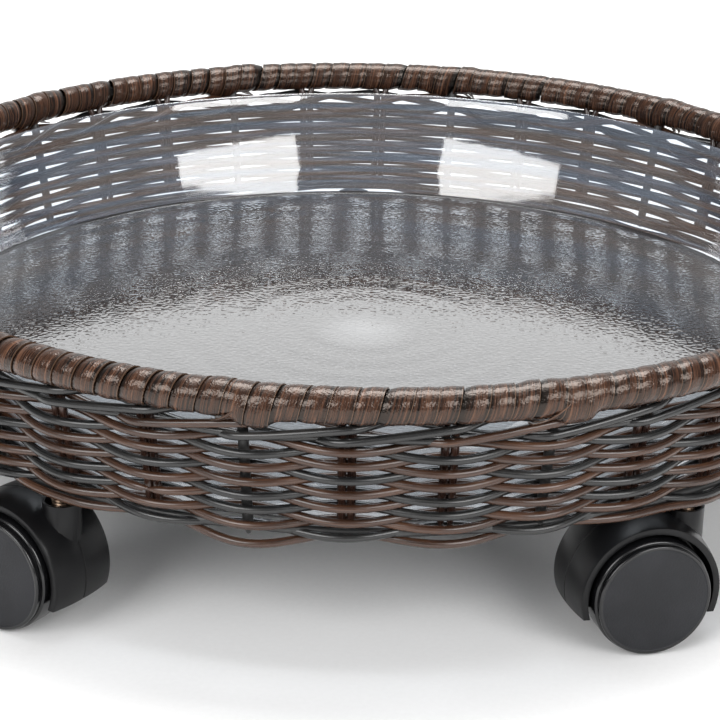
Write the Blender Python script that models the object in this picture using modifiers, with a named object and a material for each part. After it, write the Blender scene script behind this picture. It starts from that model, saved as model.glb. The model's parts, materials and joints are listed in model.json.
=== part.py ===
"""Round wicker plant pot caddy.

A steel ring frame is woven with resin canes and has a wrapped rim. A flat steel star under it carries
a clear saucer and five twin-wheel swivel casters. Units are metres, +Z is up, and the origin is on the
floor under the middle of the caddy. The front is towards -Y.
"""

import math

import bmesh
import bpy
from mathutils import Matrix, Vector

GAP = 0.0003  # left between two pieces that touch

# Rim: a steel ring with a flat strip wound on it
RIM_RADIUS = 0.1965
RIM_HEIGHT = 0.1035
TOP_WIRE_RADIUS = 0.003
WRAP_RADIUS = 0.0059
WRAP_OPENING = (math.radians(-150), math.radians(-80))  # where the rods and cane ends go in

# Wall: leans outwards from the base ring to the rim
BASE_RING_RADIUS = 0.1855
BASE_WIRE_RADIUS = 0.0015
WALL_BOTTOM = 0.0512
WALL_TOP_RADIUS = 0.1947
WALL_HALF_THICKNESS = 0.004
WEAVE_TOP = 0.0887
WALE_BOTTOM = WEAVE_TOP + GAP
WALE_TOP = RIM_HEIGHT - WRAP_RADIUS - GAP

# Frame rods
ROD_COUNT = 12
ROD_RADIUS = 0.0018
ROD_HOLE_RADIUS = 0.00215
FIRST_ROD_ANGLE = math.radians(-11.4)

# Base star
ARM_WIDTH = 0.013
ARM_THICKNESS = 0.0018
ARM_TOP = 0.0524
ARM_START = 0.015
ARM_END = 0.1872
ARM_END_CHAMFER = 0.0035
HUB_RADIUS = 0.032

# Saucer, by the radius and height of its outer side
SAUCER_THICKNESS = 0.001
SAUCER_LIP_RADIUS = 0.1893
SAUCER_LIP_HEIGHT = 0.0970
SAUCER_LIP_ROUNDING = 0.0010
SAUCER_WALL_FOOT_RADIUS = 0.1785
SAUCER_WALL_FOOT_HEIGHT = 0.0620
SAUCER_CORNER = [(0.1763, 0.0040), (0.1745, 0.0014)]  # with heights above the underside
SAUCER_FLOOR_RADIUS = 0.170

# Casters
CASTER_COUNT = 5
CASTER_CIRCLE_RADIUS = 0.1816
FIRST_CASTER_ANGLE = math.radians(-34.1)
CASTER_HEADINGS = [math.radians(a) for a in (-34, 16, -60, 107, -127)]  # wheels trail the other way
TRAIL = 0.0163
WHEEL_RADIUS = 0.0210
WHEEL_INNER_FACE = 0.0058  # from the middle of the caster along the axle
WHEEL_OUTER_FACE = 0.0157
WHEEL_BORE_RADIUS = 0.0028
CAP_RADIUS = 0.0203
CAP_FACE = 0.0184
AXLE_RADIUS = 0.0025
AXLE_HALF_LENGTH = 0.0152
HOOD_RADIUS = 0.0263
HOOD_CROWN = 0.0005  # lost in radius half way to each lip
HOOD_LIP_RADIUS = 0.0250
HOOD_HALF_WIDTH = 0.0143
HOOD_WEB_HALF_WIDTH = 0.0052
HOOD_WELL_RADIUS = 0.0228
HOOD_BOTTOM = 0.0130
BOSS_RADIUS = 0.0068
BOSS_START = 0.030
BOSS_TOP = 0.0467
STEM_RADIUS = 0.0036
STEM_HOLE_RADIUS = 0.0039
STEM_BOTTOM = 0.031

RING_SEGMENTS = 48
WHEEL_SEGMENTS = 24
HOOD_SEGMENTS = 32
MERGE = 0.0001

BASE_RING_HEIGHT = ARM_TOP + GAP + BASE_WIRE_RADIUS
ROD_BOTTOM = BASE_RING_HEIGHT + BASE_WIRE_RADIUS + GAP
ROD_TOP = RIM_HEIGHT - TOP_WIRE_RADIUS - GAP
ARM_BOTTOM = ARM_TOP - ARM_THICKNESS
SAUCER_BOTTOM = ARM_TOP + GAP


def wall_radius(height):
    """Radius of the middle of the wall, where the rods stand."""
    slope = (WALL_TOP_RADIUS - BASE_RING_RADIUS) / (ROD_TOP - BASE_RING_HEIGHT)
    return BASE_RING_RADIUS + slope * (height - BASE_RING_HEIGHT)


def clear_scene():
    for thing in list(bpy.data.objects):
        bpy.data.objects.remove(thing)


def new_collection(name):
    collection = bpy.data.collections.new(name)
    bpy.context.scene.collection.children.link(collection)
    return collection


def new_material(name, colour, roughness, metallic=0.0, alpha=1.0):
    material = bpy.data.materials.new(name)
    material.use_nodes = True
    shader = material.node_tree.nodes["Principled BSDF"]
    shader.inputs["Base Color"].default_value = (*colour, 1)
    shader.inputs["Roughness"].default_value = roughness
    shader.inputs["Metallic"].default_value = metallic
    shader.inputs["Alpha"].default_value = alpha
    return material


def move_to(thing, collection):
    for old in list(thing.users_collection):
        old.objects.unlink(thing)
    collection.objects.link(thing)


def finish_piece(piece, name, material, sharp_angle=30):
    """Names a finished piece, gives it its material and smooth round sides."""
    piece.name = name
    piece.data.name = name
    piece.data.materials.clear()
    piece.data.materials.append(material)
    if piece.type == "MESH":
        piece.data.shade_smooth()
        piece.data.set_sharp_from_angle(angle=math.radians(sharp_angle))
    move_to(piece, PARTS)
    return piece


def as_cutter(cutter, collection):
    cutter.hide_render = True
    cutter.display_type = "WIRE"
    move_to(cutter, collection)
    return cutter


def turned(profile, segments, closed=False):
    """Turns a profile of (radius, height) points about Z. It runs down its outer side."""
    mesh = bpy.data.meshes.new("profile")
    points = [(radius, 0, height) for radius, height in profile]
    edges = [(i, i + 1) for i in range(len(points) - 1)]
    if closed:
        edges.append((len(points) - 1, 0))
    mesh.from_pydata(points, edges, [])
    piece = bpy.data.objects.new("turned", mesh)
    CUTTERS.objects.link(piece)
    screw = piece.modifiers.new("Screw", "SCREW")
    screw.steps = segments
    screw.render_steps = segments
    screw.use_merge_vertices = True
    screw.merge_threshold = MERGE
    return piece


def cylinder(radius, low, high, vertices):
    """A cylinder along Z from low to high."""
    bpy.ops.mesh.primitive_cylinder_add(
        vertices=vertices, radius=radius, depth=high - low, location=(0, 0, (low + high) / 2)
    )
    return bpy.context.object


def baked(piece):
    """The evaluated mesh of a piece, in the frame its location and rotation give."""
    bpy.context.view_layer.update()
    evaluated = piece.evaluated_get(bpy.context.evaluated_depsgraph_get())
    mesh = bpy.data.meshes.new_from_object(evaluated)
    mesh.transform(piece.matrix_world)
    return mesh


def cylinder_mesh(radius, low, high, vertices):
    blank = cylinder(radius, low, high, vertices)
    mesh = baked(blank)
    bpy.data.objects.remove(blank)
    return mesh


def cut(piece, operation, tool):
    modifier = piece.modifiers.new(operation.title(), "BOOLEAN")
    modifier.operation = operation
    modifier.object = tool


def on_circle(radius, angle, height):
    """A point at an angle from the front, turning towards +X."""
    return Vector((radius * math.sin(angle), -radius * math.cos(angle), height))


def facing_out(angle):
    """Turn about Z that points +X outwards at that angle from the front."""
    return angle - math.pi / 2


def placed(mesh, name, material, location, rotation, parent=None):
    piece = bpy.data.objects.new(name, mesh)
    CUTTERS.objects.link(piece)
    piece.location = location
    piece.rotation_euler = rotation
    piece.parent = parent
    return finish_piece(piece, name, material)


def make_ring(name, radius, height, wire_radius, sides):
    bpy.ops.mesh.primitive_torus_add(
        major_segments=RING_SEGMENTS,
        minor_segments=sides,
        major_radius=radius,
        minor_radius=wire_radius,
        location=(0, 0, height),
    )
    finish_piece(bpy.context.object, name, BLACK_STEEL, sharp_angle=70)


def make_rim_wrap():
    """The wound strip: a tube slit along its inner underside, where the wall goes in."""
    inner_radius = TOP_WIRE_RADIUS + GAP
    low, high = WRAP_OPENING
    high_end = low + 2 * math.pi

    def arc(radius, start, end, steps):
        angles = [start + (end - start) * i / steps for i in range(steps + 1)]
        return [
            (RIM_RADIUS + radius * math.cos(a), RIM_HEIGHT + radius * math.sin(a)) for a in angles
        ]

    profile = arc(WRAP_RADIUS, high_end, high, 10) + arc(inner_radius, high, high_end, 6)
    finish_piece(turned(profile, RING_SEGMENTS, closed=True), "rim_wrap", STRIP, sharp_angle=60)


def rod_placement(index):
    """Location and rotation of the middle of a frame rod."""
    angle = FIRST_ROD_ANGLE + index * 2 * math.pi / ROD_COUNT
    middle = (ROD_BOTTOM + ROD_TOP) / 2
    lean = math.atan2(wall_radius(ROD_TOP) - wall_radius(ROD_BOTTOM), ROD_TOP - ROD_BOTTOM)
    return on_circle(wall_radius(middle), angle, middle), (0, lean, facing_out(angle))


def make_frame_rods():
    half = (ROD_TOP - ROD_BOTTOM) / 2
    rod = cylinder_mesh(ROD_RADIUS, -half, half, 8)
    for i in range(ROD_COUNT):
        placed(rod, f"frame_rod_{i + 1:02}", BLACK_STEEL, *rod_placement(i))


def rod_hole_cutters():
    holes = bpy.data.collections.new("rod_holes")
    CUTTERS.children.link(holes)
    half = ROD_TOP - ROD_BOTTOM
    for i in range(ROD_COUNT):
        tool = cylinder(ROD_HOLE_RADIUS, -half, half, 8)
        tool.location, tool.rotation_euler = rod_placement(i)
        as_cutter(tool, holes)
    return holes


def arm_notch_cutters():
    """Blocks round the outer ends of the base arms, where they reach under the weave."""
    notches = bpy.data.collections.new("arm_notches")
    CUTTERS.children.link(notches)
    length, width = 4 * WALL_HALF_THICKNESS, ARM_WIDTH + 2 * GAP
    low, high = WALL_BOTTOM - WALL_HALF_THICKNESS, ARM_TOP + GAP
    for i in range(CASTER_COUNT):
        angle = caster_angle(i)
        bpy.ops.mesh.primitive_cube_add(size=1)
        notch = bpy.context.object
        notch.scale = (length, width, high - low)
        notch.location = on_circle(ARM_END, angle, (low + high) / 2)
        notch.rotation_euler = (0, 0, facing_out(angle))
        as_cutter(notch, notches)
    return notches


def make_wall():
    """The woven wall and the wale above it, each a plain band with holes for the rods.

    The woven wall also stands over the ends of the base arms.
    """
    holes, notches = rod_hole_cutters(), arm_notch_cutters()
    ring_space = BASE_RING_RADIUS + BASE_WIRE_RADIUS + GAP
    half = WALL_HALF_THICKNESS
    rebate_top = ROD_BOTTOM
    weave = [
        (wall_radius(WEAVE_TOP) - half, WEAVE_TOP),
        (wall_radius(WEAVE_TOP) + half, WEAVE_TOP),
        (wall_radius(WALL_BOTTOM) + half, WALL_BOTTOM),
        (ring_space, WALL_BOTTOM),
        (ring_space, rebate_top),
        (wall_radius(rebate_top) - half, rebate_top),
    ]
    wale = [
        (wall_radius(WALE_TOP) - half, WALE_TOP),
        (wall_radius(WALE_TOP) + half, WALE_TOP),
        (wall_radius(WALE_BOTTOM) + half, WALE_BOTTOM),
        (wall_radius(WALE_BOTTOM) - half, WALE_BOTTOM),
    ]
    for name, profile, cutters in (
        ("wicker_weave", weave, (holes, notches)),
        ("top_wale", wale, (holes,)),
    ):
        band = turned(profile, RING_SEGMENTS, closed=True)
        for cutter in cutters:
            drill = band.modifiers.new(cutter.name, "BOOLEAN")
            drill.operand_type = "COLLECTION"
            drill.collection = cutter
        finish_piece(band, name, CANE)


def flat_outline(loops, thickness):
    """A flat plate from closed outlines of (x, y) points, the first the edge and the rest holes."""
    curve = bpy.data.curves.new("outline", "CURVE")
    curve.dimensions = "2D"
    curve.fill_mode = "BOTH"
    curve.extrude = thickness / 2
    for loop in loops:
        spline = curve.splines.new("POLY")
        spline.points.add(len(loop) - 1)
        for point, (x, y) in zip(spline.points, loop):
            point.co = (x, y, 0, 1)
        spline.use_cyclic_u = True
    plate = bpy.data.objects.new("plate", curve)
    CUTTERS.objects.link(plate)
    mesh = baked(plate)
    bpy.data.objects.remove(plate)
    joined = bmesh.new()
    joined.from_mesh(mesh)
    bmesh.ops.remove_doubles(joined, verts=joined.verts, dist=MERGE)
    joined.to_mesh(mesh)
    joined.free()
    return mesh


def make_base_star():
    half = ARM_WIDTH / 2
    shoulder = ARM_END - ARM_END_CHAMFER
    tip = half - ARM_END_CHAMFER
    edge = [
        (ARM_START, -half), (shoulder, -half), (ARM_END, -tip),
        (ARM_END, tip), (shoulder, half), (ARM_START, half),
    ]
    hole_radius = STEM_RADIUS + GAP
    turns = [2 * math.pi * i / 16 for i in range(16)]
    hole = [
        (CASTER_CIRCLE_RADIUS + hole_radius * math.cos(t), hole_radius * math.sin(t)) for t in turns
    ]
    arm = flat_outline([edge, hole], ARM_THICKNESS)
    middle = (ARM_TOP + ARM_BOTTOM) / 2
    for i in range(CASTER_COUNT):
        turn = facing_out(caster_angle(i))
        placed(arm, f"base_arm_{i + 1}", BLACK_STEEL, (0, 0, middle), (0, 0, turn))
    hub_top = ARM_BOTTOM - GAP
    hub = cylinder(HUB_RADIUS, hub_top - ARM_THICKNESS, hub_top, 32)
    finish_piece(hub, "base_hub", BLACK_STEEL)


def make_saucer():
    profile = [
        (SAUCER_LIP_RADIUS, SAUCER_LIP_HEIGHT),
        (SAUCER_LIP_RADIUS - SAUCER_LIP_ROUNDING, SAUCER_LIP_HEIGHT - SAUCER_LIP_ROUNDING),
        (SAUCER_WALL_FOOT_RADIUS, SAUCER_WALL_FOOT_HEIGHT),
        *[(radius, SAUCER_BOTTOM + height) for radius, height in SAUCER_CORNER],
        (SAUCER_FLOOR_RADIUS, SAUCER_BOTTOM),
        (0, SAUCER_BOTTOM),
    ]
    saucer = turned(profile, RING_SEGMENTS)
    shell = saucer.modifiers.new("Solidify", "SOLIDIFY")
    shell.thickness = SAUCER_THICKNESS
    shell.offset = -1
    shell.use_even_offset = True
    finish_piece(saucer, "saucer", CLEAR)


def caster_angle(index):
    return FIRST_CASTER_ANGLE + index * 2 * math.pi / CASTER_COUNT


def hood_mesh():
    """The hood: a crowned drum round the axle with a stem boss, hollowed for the two wheels.

    Its origin is on the swivel axis at the floor, and the wheels trail along -X.
    """
    axle_place = Matrix.Translation((-TRAIL, 0, WHEEL_RADIUS)) @ Matrix.Rotation(-math.pi / 2, 4, "X")
    crown = [
        (0, HOOD_HALF_WIDTH),
        (HOOD_LIP_RADIUS, HOOD_HALF_WIDTH),
        (HOOD_RADIUS - HOOD_CROWN, HOOD_HALF_WIDTH / 2),
        (HOOD_RADIUS, 0),
        (HOOD_RADIUS - HOOD_CROWN, -HOOD_HALF_WIDTH / 2),
        (HOOD_LIP_RADIUS, -HOOD_HALF_WIDTH),
        (0, -HOOD_HALF_WIDTH),
    ]
    drum = turned(crown, HOOD_SEGMENTS)
    drum.matrix_world = axle_place
    tools = [("UNION", cylinder(BOSS_RADIUS, BOSS_START, BOSS_TOP, 20))]
    reach = 2 * HOOD_RADIUS
    for low, high in ((HOOD_WEB_HALF_WIDTH, reach), (-reach, -HOOD_WEB_HALF_WIDTH)):
        well = cylinder(HOOD_WELL_RADIUS, low, high, HOOD_SEGMENTS)
        well.matrix_world = axle_place @ well.matrix_world
        tools.append(("DIFFERENCE", well))
    axle_hole = cylinder(AXLE_RADIUS + GAP, -reach, reach, 12)
    axle_hole.matrix_world = axle_place @ axle_hole.matrix_world
    tools.append(("DIFFERENCE", axle_hole))
    stem_hole = cylinder(STEM_HOLE_RADIUS, STEM_BOTTOM - GAP, BOSS_TOP + BOSS_RADIUS, 16)
    tools.append(("DIFFERENCE", stem_hole))
    floor_cut = cylinder(2 * reach, -reach, HOOD_BOTTOM, 8)
    tools.append(("DIFFERENCE", floor_cut))
    for operation, tool in tools:
        as_cutter(tool, CUTTERS)
        cut(drum, operation, tool)
    mesh = baked(drum)
    for thing in [drum] + [tool for _, tool in tools]:
        bpy.data.objects.remove(thing)
    return mesh


def baked_turned(profile, segments, closed=False):
    blank = turned(profile, segments, closed)
    mesh = baked(blank)
    bpy.data.objects.remove(blank)
    return mesh


def wheel_mesh():
    """A wheel turned about Z, its outer face upwards, bored for the axle."""
    edge = 0.0008
    return baked_turned(
        [
            (WHEEL_BORE_RADIUS, WHEEL_OUTER_FACE),
            (WHEEL_RADIUS - edge, WHEEL_OUTER_FACE),
            (WHEEL_RADIUS, WHEEL_OUTER_FACE - edge),
            (WHEEL_RADIUS, WHEEL_INNER_FACE + edge),
            (WHEEL_RADIUS - edge, WHEEL_INNER_FACE),
            (WHEEL_BORE_RADIUS, WHEEL_INNER_FACE),
        ],
        WHEEL_SEGMENTS,
        closed=True,
    )


def cap_mesh():
    """The disc that covers a wheel's outer face, a little domed."""
    edge = 0.0006
    back = WHEEL_OUTER_FACE + GAP
    return baked_turned(
        [
            (0, CAP_FACE),
            (CAP_RADIUS - edge, CAP_FACE - edge / 2),
            (CAP_RADIUS, CAP_FACE - edge),
            (CAP_RADIUS, back),
            (0, back),
        ],
        WHEEL_SEGMENTS,
    )


def make_casters():
    axle = cylinder_mesh(AXLE_RADIUS, -AXLE_HALF_LENGTH, AXLE_HALF_LENGTH, 12)
    stem = cylinder_mesh(STEM_RADIUS, STEM_BOTTOM, ARM_TOP, 12)
    hood, wheel, cap = hood_mesh(), wheel_mesh(), cap_mesh()
    axle_centre = (-TRAIL, 0, WHEEL_RADIUS)
    for i in range(CASTER_COUNT):
        name = f"caster_{i + 1}"
        swivel = bpy.data.objects.new(f"{name}_swivel", None)
        PARTS.objects.link(swivel)
        swivel.location = on_circle(CASTER_CIRCLE_RADIUS, caster_angle(i), 0)
        swivel.rotation_euler = (0, 0, CASTER_HEADINGS[i])
        placed(stem, f"{name}_stem", ZINC, swivel.location, (0, 0, 0))
        placed(hood, f"{name}_hood", HOOD_PLASTIC, (0, 0, 0), (0, 0, 0), swivel)
        placed(axle, f"{name}_axle", ZINC, axle_centre, (-math.pi / 2, 0, 0), swivel)
        for side, turn in (("left", -math.pi / 2), ("right", math.pi / 2)):
            placed(wheel, f"{name}_wheel_{side}", WHEEL_PLASTIC, axle_centre, (turn, 0, 0), swivel)
            placed(cap, f"{name}_cap_{side}", WHEEL_PLASTIC, axle_centre, (turn, 0, 0), swivel)


clear_scene()
PARTS = new_collection("plant_pot_caddy")
CUTTERS = new_collection("cutters")
BLACK_STEEL = new_material("black_steel", (0.03, 0.03, 0.03), 0.45, metallic=0.6)
ZINC = new_material("zinc", (0.45, 0.40, 0.33), 0.35, metallic=1.0)
STRIP = new_material("strip", (0.13, 0.07, 0.05), 0.40)
CANE = new_material("cane", (0.12, 0.07, 0.05), 0.40)
CLEAR = new_material("clear", (0.85, 0.88, 0.90), 0.08, alpha=0.35)
HOOD_PLASTIC = new_material("hood_plastic", (0.02, 0.02, 0.022), 0.45)
WHEEL_PLASTIC = new_material("wheel_plastic", (0.045, 0.045, 0.05), 0.55)

make_ring("top_ring", RIM_RADIUS, RIM_HEIGHT, TOP_WIRE_RADIUS, 6)
make_ring("base_ring", BASE_RING_RADIUS, BASE_RING_HEIGHT, BASE_WIRE_RADIUS, 6)
make_rim_wrap()
make_frame_rods()
make_wall()
make_base_star()
make_saucer()
make_casters()
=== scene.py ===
"""Looks of the round wicker plant pot caddy.

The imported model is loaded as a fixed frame. The woven canes, the wound rim, the clear saucer and the
casters are made round it in finer detail, and what the frame already shows well gets its material.
Units are metres, +Z is up, and angles round the caddy run from the front (-Y) towards +X.
"""

import json
import math

import bmesh
import bpy
import numpy as np
from mathutils import Matrix, Vector


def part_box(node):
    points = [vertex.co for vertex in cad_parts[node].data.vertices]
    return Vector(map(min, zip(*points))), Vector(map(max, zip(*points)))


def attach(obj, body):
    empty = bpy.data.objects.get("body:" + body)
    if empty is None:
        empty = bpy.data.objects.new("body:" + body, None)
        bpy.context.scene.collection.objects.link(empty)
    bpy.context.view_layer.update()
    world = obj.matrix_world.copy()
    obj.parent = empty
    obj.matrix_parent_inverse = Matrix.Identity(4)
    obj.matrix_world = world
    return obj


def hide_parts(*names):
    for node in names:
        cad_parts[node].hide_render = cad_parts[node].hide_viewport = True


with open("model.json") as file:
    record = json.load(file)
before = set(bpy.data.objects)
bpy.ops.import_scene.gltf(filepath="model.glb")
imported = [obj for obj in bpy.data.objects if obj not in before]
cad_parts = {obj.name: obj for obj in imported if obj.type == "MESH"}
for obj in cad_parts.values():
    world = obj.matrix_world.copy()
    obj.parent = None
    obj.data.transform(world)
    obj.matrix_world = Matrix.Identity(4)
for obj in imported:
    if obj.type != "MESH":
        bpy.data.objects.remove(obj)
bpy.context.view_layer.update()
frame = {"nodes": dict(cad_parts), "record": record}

RECORD = frame["record"]
JOINTS = {joint["name"]: joint for joint in RECORD["behaviour"]["joints"]}
RANDOM = np.random.default_rng(7)

# ------------ sizes, from the frame

RIM_LOW, RIM_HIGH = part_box("rim_wrap")
WRAP_RADIUS = (RIM_HIGH.z - RIM_LOW.z) / 2
RIM_HEIGHT = (RIM_HIGH.z + RIM_LOW.z) / 2
RIM_RADIUS = RIM_HIGH.x - WRAP_RADIUS

WEAVE_LOW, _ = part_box("wicker_weave")
WALE_LOW, WALE_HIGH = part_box("top_wale")
BASE_LOW, BASE_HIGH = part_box("base_ring")
BASE_WIRE_RADIUS = 0.0015
BASE_RING_RADIUS = BASE_HIGH.x - BASE_WIRE_RADIUS
BASE_RING_HEIGHT = (BASE_LOW.z + BASE_HIGH.z) / 2
WALL_HALF_THICKNESS = 0.004
WALL_TOP_RADIUS = WALE_HIGH.x - WALL_HALF_THICKNESS
WALL_SLOPE = (WALL_TOP_RADIUS - BASE_RING_RADIUS) / (WALE_HIGH.z - BASE_RING_HEIGHT)

ROD_NODES = sorted(name for name in frame["nodes"] if name.startswith("frame_rod_"))
ROD_RADIUS = 0.0018
UPRIGHTS = 3 * len(ROD_NODES)  # a rod, then two doubled canes, all the way round
STEP = 2 * math.pi / UPRIGHTS

CASTERS = sorted(name[: -len("_swivel")] for name in JOINTS if name.endswith("_swivel"))


def box_middle(node):
    """The middle of a node's box at rest."""
    low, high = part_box(node)
    return (low + high) / 2


def angle_of(point):
    """Angle round the caddy of a point, from the front towards +X."""
    return math.atan2(point.x, -point.y)


FIRST_ROD = angle_of(box_middle(ROD_NODES[0]))


def wall_radius(height):
    """How far the middle of the woven wall is from the axis. Higher up it is further out."""
    return BASE_RING_RADIUS + WALL_SLOPE * (height - BASE_RING_HEIGHT)


# ------------ mesh tools


def add_object(name, mesh):
    """An object for a mesh, in the scene."""
    piece = bpy.data.objects.new(name, mesh)
    bpy.context.scene.collection.objects.link(piece)
    return piece


def smooth(mesh, angle=40):
    """Smooth shading, apart from edges sharper than an angle in degrees."""
    mesh.shade_smooth()
    mesh.set_sharp_from_angle(angle=math.radians(angle))


def grid_mesh(name, points, wrap_rows=False, cap=False, attributes=None):
    """A mesh over points[row][column]. Columns always close round; rows close or are capped.

    attributes maps names to one vector per point, for the materials.
    """
    rows, columns, _ = points.shape
    index = np.arange(rows * columns).reshape(rows, columns)
    first = index if wrap_rows else index[:-1]
    second = np.roll(index, -1, axis=0) if wrap_rows else index[1:]
    faces = np.stack(
        [first, np.roll(first, -1, axis=1), np.roll(second, -1, axis=1), second], axis=-1
    ).reshape(-1, 4).tolist()
    if cap:
        faces.append(index[0, ::-1].tolist())
        faces.append(index[-1].tolist())
    mesh = bpy.data.meshes.new(name)
    mesh.from_pydata(points.reshape(-1, 3).tolist(), [], faces)
    for attribute, values in (attributes or {}).items():
        layer = mesh.attributes.new(attribute, "FLOAT_VECTOR", "POINT")
        layer.data.foreach_set("vector", np.asarray(values, float).reshape(-1))
    mesh.update()
    return mesh


END_TAPER = (0.4, 0.8)  # of a cane's radius, at its last two points


def sweep(name, path, radius, sides, side_way, seed=0.0):
    """A round cane or wire along a path of points, with rounded ends.

    side_way is a direction across the path. The attribute "grain" holds the distance along, the
    share of the way round, and the seed.
    """
    path = np.asarray(path, float)
    tangent = np.gradient(path, axis=0)
    tangent /= np.linalg.norm(tangent, axis=1)[:, None]
    across = np.cross(tangent, side_way)
    across /= np.linalg.norm(across, axis=1)[:, None]
    other = np.cross(across, tangent)
    along = np.concatenate([[0], np.cumsum(np.linalg.norm(np.diff(path, axis=0), axis=1))])
    radii = np.full(len(path), radius)
    radii[[0, -1]] = radius * END_TAPER[0]
    radii[[1, -2]] = radius * END_TAPER[1]
    turn = np.arange(sides) / sides
    ring = 2 * math.pi * turn
    points = path[:, None] + radii[:, None, None] * (
        across[:, None] * np.cos(ring)[None, :, None] + other[:, None] * np.sin(ring)[None, :, None]
    )
    grain = np.zeros(points.shape)
    grain[..., 0] = along[:, None]
    grain[..., 1] = turn[None, :]
    grain[..., 2] = seed
    return grid_mesh(name, points, cap=True, attributes={"grain": grain})


WELD = 1e-6


def lathe(name, profile, segments):
    """A closed profile of (radius, height) points turned about Z. It runs up its outer side."""
    profile = np.asarray(profile, float)
    turn = 2 * math.pi * np.arange(segments) / segments
    points = np.zeros((segments, len(profile), 3))
    points[..., 0] = np.cos(turn)[:, None] * profile[None, :, 0]
    points[..., 1] = np.sin(turn)[:, None] * profile[None, :, 0]
    points[..., 2] = profile[None, :, 1]
    mesh = grid_mesh(name, points, wrap_rows=True)
    welded = bmesh.new()
    welded.from_mesh(mesh)
    bmesh.ops.remove_doubles(welded, verts=welded.verts, dist=WELD)
    loose = [edge for edge in welded.edges if not edge.link_faces]
    bmesh.ops.delete(welded, geom=loose, context="EDGES")
    bmesh.ops.recalc_face_normals(welded, faces=welded.faces)
    welded.to_mesh(mesh)
    welded.free()
    return mesh


def arc(centre, radius, start, end, steps):
    """Points on an arc in a profile, from angle start to end in degrees."""
    angles = np.radians(np.linspace(start, end, steps + 1))
    return [
        (centre[0] + radius * math.cos(a), centre[1] + radius * math.sin(a)) for a in angles
    ]


def ring_points(angles, radii, heights):
    """Points round the caddy."""
    return np.stack([radii * np.sin(angles), -radii * np.cos(angles), heights], axis=-1)


def wander(angles, size, waves=7):
    """A smooth random drift round the caddy, the same at both ends of the turn."""
    total = np.zeros_like(angles)
    for wave in range(1, waves + 1):
        total += RANDOM.normal() * np.cos(wave * angles + RANDOM.uniform(0, 2 * math.pi))
    return size * total / math.sqrt(waves)


# ------------ material tools


class Shading:
    """A material's node tree, with short calls for the nodes that the materials here use."""

    def __init__(self, name):
        self.material = bpy.data.materials.new(name)
        self.material.use_nodes = True
        self.tree = self.material.node_tree
        self.shader = self.tree.nodes["Principled BSDF"]
        self.output = self.tree.nodes["Material Output"]

    def set(self, **inputs):
        """Uniform values, on the shader itself."""
        for name, value in inputs.items():
            self.shader.inputs[name.replace("_", " ")].default_value = value

    def put(self, target, value):
        """Links a socket to an input, or sets the input to a value."""
        if isinstance(value, bpy.types.NodeSocket):
            self.tree.links.new(value, target)
        else:
            target.default_value = value

    def node(self, kind, inputs, output=0, **settings):
        """Adds a node, and gives one of its outputs."""
        made = self.tree.nodes.new(kind)
        for name, value in settings.items():
            setattr(made, name, value)
        for name, value in inputs.items():
            self.put(made.inputs[name], value)
        return made.outputs[output]

    def attribute(self, name, scale):
        """An attribute's vector, multiplied by scale."""
        vector = self.node("ShaderNodeAttribute", {}, "Vector", attribute_name=name)
        return self.scaled(vector, scale)

    def scaled(self, vector, scale):
        """A vector multiplied part by part."""
        return self.node("ShaderNodeVectorMath", {0: vector, 1: scale}, operation="MULTIPLY")

    def place(self, scale):
        """Position on the object in metres, multiplied by scale."""
        vector = self.node("ShaderNodeTexCoord", {}, "Object")
        return self.scaled(vector, scale)

    def noise(self, vector, detail=2.0, rough=0.5):
        """Noise between 0 and 1. The vector sets how fine it is."""
        return self.node(
            "ShaderNodeTexNoise", {"Vector": vector, "Scale": 1, "Detail": detail, "Roughness": rough}
        )

    def ramp(self, factor, stops):
        """A colour for each value of factor. stops holds (position, colour)."""
        made = self.tree.nodes.new("ShaderNodeValToRGB")
        elements = made.color_ramp.elements
        while len(elements) < len(stops):
            elements.new(1)
        for element, (position, colour) in zip(elements, stops):
            element.position = position
            element.color = (*colour, 1) if len(colour) == 3 else colour
        self.put(made.inputs[0], factor)
        return made.outputs[0]

    def remap(self, value, low, high):
        """A value between 0 and 1, spread from low to high."""
        return self.node("ShaderNodeMapRange", {"Value": value, "To Min": low, "To Max": high})

    def maths(self, operation, first, second):
        return self.node("ShaderNodeMath", {0: first, 1: second}, operation=operation)

    def mix(self, factor, first, second):
        """The first colour, or the second as factor goes to 1."""
        made = self.tree.nodes.new("ShaderNodeMix")
        made.data_type = "RGBA"
        self.put(made.inputs[0], factor)
        self.put(made.inputs[6], first)
        self.put(made.inputs[7], second)
        return made.outputs[2]

    def bump(self, height, strength, distance, normal=None):
        """A normal bent by a height, over another normal where one is given."""
        inputs = {"Height": height, "Strength": strength, "Distance": distance}
        if normal is not None:
            inputs["Normal"] = normal
        return self.node("ShaderNodeBump", inputs)

    def use(self, **links):
        """Links the shader's inputs, and gives the finished material."""
        for name, value in links.items():
            self.put(self.shader.inputs[name.replace("_", " ")], value)
        return self.material


def grey(value):
    return (value, value, value)


# ------------ materials


def cane_material(name, shade, base, light):
    """Round resin cane: long soft streaks, fine extrusion lines and a satin skin."""
    look = Shading(name)
    streaks = look.noise(look.attribute("grain", (22, 2.2, 31)), detail=4, rough=0.6)
    lines = look.noise(look.attribute("grain", (60, 16, 31)), detail=3, rough=0.6)
    blend = look.maths("ADD", look.maths("MULTIPLY", streaks, 0.7), look.maths("MULTIPLY", lines, 0.3))
    colour = look.ramp(blend, [(0.34, shade), (0.50, base), (0.66, light)])
    rough = look.remap(lines, 0.20, 0.34)
    normal = look.bump(lines, 0.25, 0.0001)
    look.set(Specular_IOR_Level=0.58)
    return look.use(Base_Color=colour, Roughness=rough, Normal=normal)


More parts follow.
